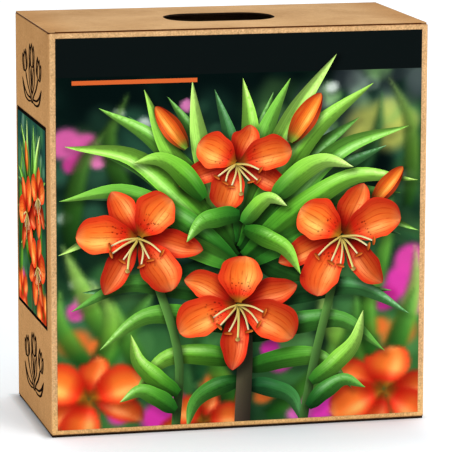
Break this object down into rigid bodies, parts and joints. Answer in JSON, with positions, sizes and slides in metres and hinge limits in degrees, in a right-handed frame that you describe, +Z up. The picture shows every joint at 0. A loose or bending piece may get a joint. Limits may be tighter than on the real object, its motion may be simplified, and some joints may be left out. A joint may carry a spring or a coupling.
{
  "type": "printed kraft cardboard carry carton for flower bulbs",
  "caption": "Upright kraft-board carton for flower bulbs with a hand slot in its tuck-in lid, dust flaps, a four-flap bottom and a framed flower picture on the front.",
  "frame": {"origin": "middle of the footprint, on the surface that the carton stands on", "axes": "+Z up; the front picture faces -Y; the lid is creased to the back panel on the +Y side; +X is the carton's right as seen from the front"},
  "size_m": [0.2706, 0.1356, 0.284],
  "materials": {
    "front_panel": "matt kraft",
    "back_panel": "matt kraft",
    "left_side_panel": "matt kraft",
    "right_side_panel": "matt kraft",
    "glue_tab": "matt",
    "bottom_flap_front": "matt kraft",
    "bottom_flap_back": "matt kraft",
    "bottom_flap_left": "matt",
    "bottom_flap_right": "matt",
    "lid_panel": "matt kraft",
    "tuck_flap": "matt kraft",
    "left_dust_flap": "matt kraft",
    "right_dust_flap": "matt kraft",
    "front_label": "satin print",
    "back_label": "matt print",
    "left_side_label": "satin print",
    "right_side_label": "satin print"
  },
  "bodies": {
    "sleeve": {"front_panel": "front_panel", "back_panel": "back_panel", "left_side_panel": "left_side_panel", "right_side_panel": "right_side_panel", "glue_tab": "glue_tab", "bottom_flap_front": "bottom_flap_front", "bottom_flap_back": "bottom_flap_back", "bottom_flap_left": "bottom_flap_left", "bottom_flap_right": "bottom_flap_right", "front_label": "front_label", "back_label": "back_label", "left_side_label": "left_side_label", "right_side_label": "right_side_label"},
    "lid": {"lid_panel": "lid_panel"},
    "tuck": {"tuck_flap": "tuck_flap"},
    "dust_left": {"left_dust_flap": "left_dust_flap"},
    "dust_right": {"right_dust_flap": "right_dust_flap"}
  },
  "joints": [
    {"name": "lid_crease", "type": "hinge", "parent": "sleeve", "child": "lid", "pos_m": [0, 0.0675, 0.284], "axis": [-1, 0, 0], "range_deg": [0, 250]},
    {"name": "tuck_crease", "type": "hinge", "parent": "lid", "child": "tuck", "pos_m": [0, -0.0656, 0.284], "axis": [-1, 0, 0], "range_deg": [0, 100]},
    {"name": "left_dust_crease", "type": "hinge", "parent": "sleeve", "child": "dust_left", "pos_m": [-0.135, 0, 0.2825], "axis": [0, -1, 0], "range_deg": [0, 100]},
    {"name": "right_dust_crease", "type": "hinge", "parent": "sleeve", "child": "dust_right", "pos_m": [0.135, 0, 0.2825], "axis": [0, 1, 0], "range_deg": [0, 100]}
  ],
  "couplings": [
    {"joint": "tuck_crease", "follows": "lid_crease", "ratio": 0.38},
    {"joint": "left_dust_crease", "follows": "lid_crease", "ratio": 0.4},
    {"joint": "right_dust_crease", "follows": "lid_crease", "ratio": 0.4}
  ]
}
